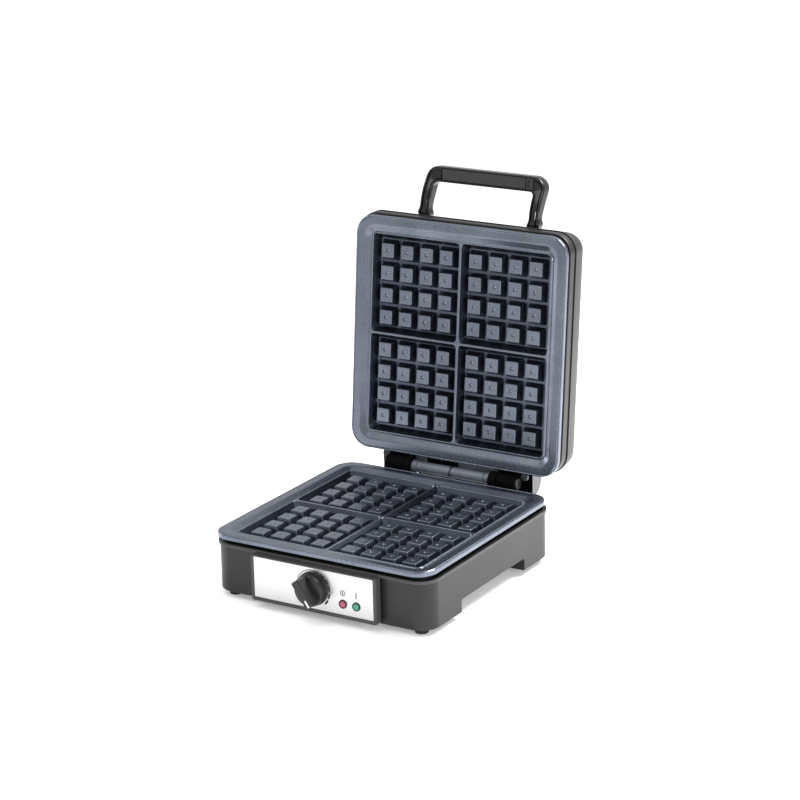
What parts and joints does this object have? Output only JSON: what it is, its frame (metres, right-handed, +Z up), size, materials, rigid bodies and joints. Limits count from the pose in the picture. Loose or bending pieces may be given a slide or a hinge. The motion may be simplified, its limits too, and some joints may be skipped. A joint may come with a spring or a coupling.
{
  "type": "waffle maker",
  "caption": "Countertop waffle maker with a hinged lid standing open, gridded non-stick plates, a U-shaped handle and a front panel with a turning knob and signal lamps.",
  "frame": {"origin": "on the floor, below the middle of the whole machine with its lid open", "axes": "+X to the user's right, +Y towards the hinge at the back, +Z up"},
  "size_m": [0.257, 0.3862, 0.3813],
  "materials": {
    "housing": "satin black moulded plastic",
    "inner_black": "dull black",
    "hinge_black": "dull black",
    "feet": "soft matt",
    "nonstick": "fine speckled blue-grey non-stick coat on cast aluminium",
    "heater": "heat-dulled sheath",
    "reflector": "bright sheet",
    "screws": "plain",
    "ceramic": "cream ceramic",
    "panel": "fine brushed",
    "print": "black print",
    "thermostat": "plated",
    "red_lens": "translucent red",
    "green_lens": "translucent green",
    "pins": "turned",
    "barrel": "satin grey",
    "barrel_ring": "turned",
    "knob": "semi-gloss black",
    "pointer": "white",
    "handle": "glossy black"
  },
  "bodies": {
    "base": {"base_housing": "housing", "bottom_cover": "housing", "cover_screws": "screws", "feet": "feet", "collar": "inner_black", "lower_plate": "nonstick", "lower_heater": "heater", "lower_reflector": "reflector", "lower_plate_screws": "screws", "thermal_fuse": "ceramic", "terminal_block": "ceramic", "terminal_screws": "screws", "cord_gland": "inner_black", "control_bezel": "housing", "control_panel": "panel", "dial_print": "print", "thermostat_body": "thermostat", "lamp_collars": "inner_black", "heating_lamp": "red_lens", "ready_lamp": "green_lens", "lamp_holders": "ceramic", "hinge_bracket_left": "hinge_black", "hinge_bracket_right": "hinge_black", "bracket_screws": "screws", "hinge_pin_left": "pins", "hinge_pin_right": "pins", "barrel_left": "barrel", "barrel_right": "barrel", "barrel_ring": "barrel_ring"},
    "knob": {"temperature_knob": "knob", "knob_pointer": "pointer", "thermostat_shaft": "pins"},
    "lid": {"upper_plate": "nonstick", "upper_heater": "heater", "upper_reflector": "reflector", "upper_plate_screws": "screws", "lid_frame": "inner_black", "lid_shell": "housing", "handle_frame": "handle", "handle_cover": "handle", "handle_catch": "handle", "handle_screws": "screws", "hinge_arm_left": "hinge_black", "hinge_arm_right": "hinge_black", "arm_screws": "screws", "conduit_saddle": "barrel"}
  },
  "joints": [
    {"name": "lid_hinge", "type": "hinge", "parent": "base", "child": "lid", "pos_m": [0, 0.09948, 0.07057], "axis": [1, 0, 0], "range_deg": [0, 95.93]},
    {"name": "knob_turn", "type": "hinge", "parent": "base", "child": "knob", "pos_m": [0, -0.17272, 0.0336], "axis": [0, -1, 0], "range_deg": [0, 270]}
  ]
}
